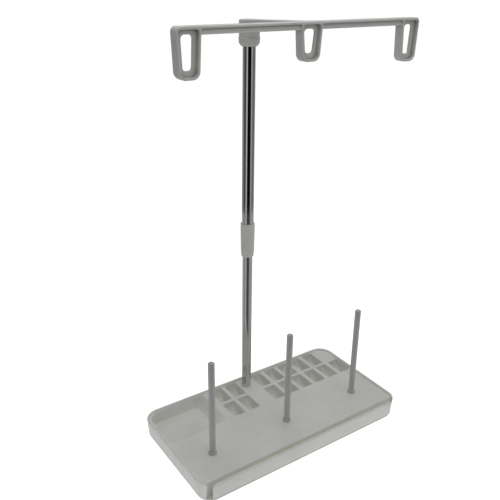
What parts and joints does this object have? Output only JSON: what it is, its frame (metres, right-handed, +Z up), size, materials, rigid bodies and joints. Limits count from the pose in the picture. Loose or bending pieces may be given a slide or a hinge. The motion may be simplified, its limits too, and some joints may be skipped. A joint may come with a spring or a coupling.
{
  "type": "spool holder stand",
  "caption": "Telescopic thread stand: flat accessory base with upright spool pins, bobbin slots, dish and drawer, and a swivelling head whose loops guide the threads.",
  "frame": {"origin": "centre of the base on the table", "axes": "+Z up the mast, +X along the long side of the base to the right, -Y towards the user and the drawer front"},
  "size_m": [0.2298, 0.1209, 0.3845],
  "materials": {
    "body_plastic": "satin moulded, off-white",
    "cover_plastic": "matt moulded, off-white",
    "pin_plastic": "satin moulded, light warm grey",
    "trim_plastic": "satin moulded, light warm grey",
    "hidden_plastic": "matt moulded",
    "tube_chrome": "polished plate on drawn steel tube",
    "steel": "zinc-plated",
    "rubber": "matt grey"
  },
  "bodies": {
    "base": {"base_body": "body_plastic", "base_cover": "cover_plastic", "cover_screw_front_left": "steel", "cover_screw_front_right": "steel", "cover_screw_side_left": "steel", "cover_screw_back_right": "steel", "foot_front_left": "rubber", "foot_front_right": "rubber", "foot_back_left": "rubber", "foot_back_right": "rubber", "spool_pin_left": "pin_plastic", "spool_pin_middle": "pin_plastic", "spool_pin_right": "pin_plastic", "pin_screw_left": "steel", "pin_screw_middle": "steel", "pin_screw_right": "steel", "lower_tube": "tube_chrome", "mast_plug": "steel", "mast_washer": "steel", "mast_screw": "steel", "slide_guide": "hidden_plastic"},
    "drawer_body": {"drawer": "body_plastic"},
    "upper_mast": {"upper_tube": "tube_chrome", "collar": "trim_plastic", "head_bush": "trim_plastic"},
    "guide": {"thread_guide": "trim_plastic"}
  },
  "joints": [
    {"name": "drawer_slide", "type": "slide", "parent": "base", "child": "drawer_body", "axis": [0, -1, 0], "range_m": [0, 0.05]},
    {"name": "mast_slide", "type": "slide", "parent": "base", "child": "upper_mast", "axis": [0, 0, 1], "range_m": [-0.142, 0]},
    {"name": "head_swivel", "type": "hinge", "parent": "upper_mast", "child": "guide", "pos_m": [0, 0.0484, 0.37], "axis": [0, 0, 1], "continuous": true}
  ]
}
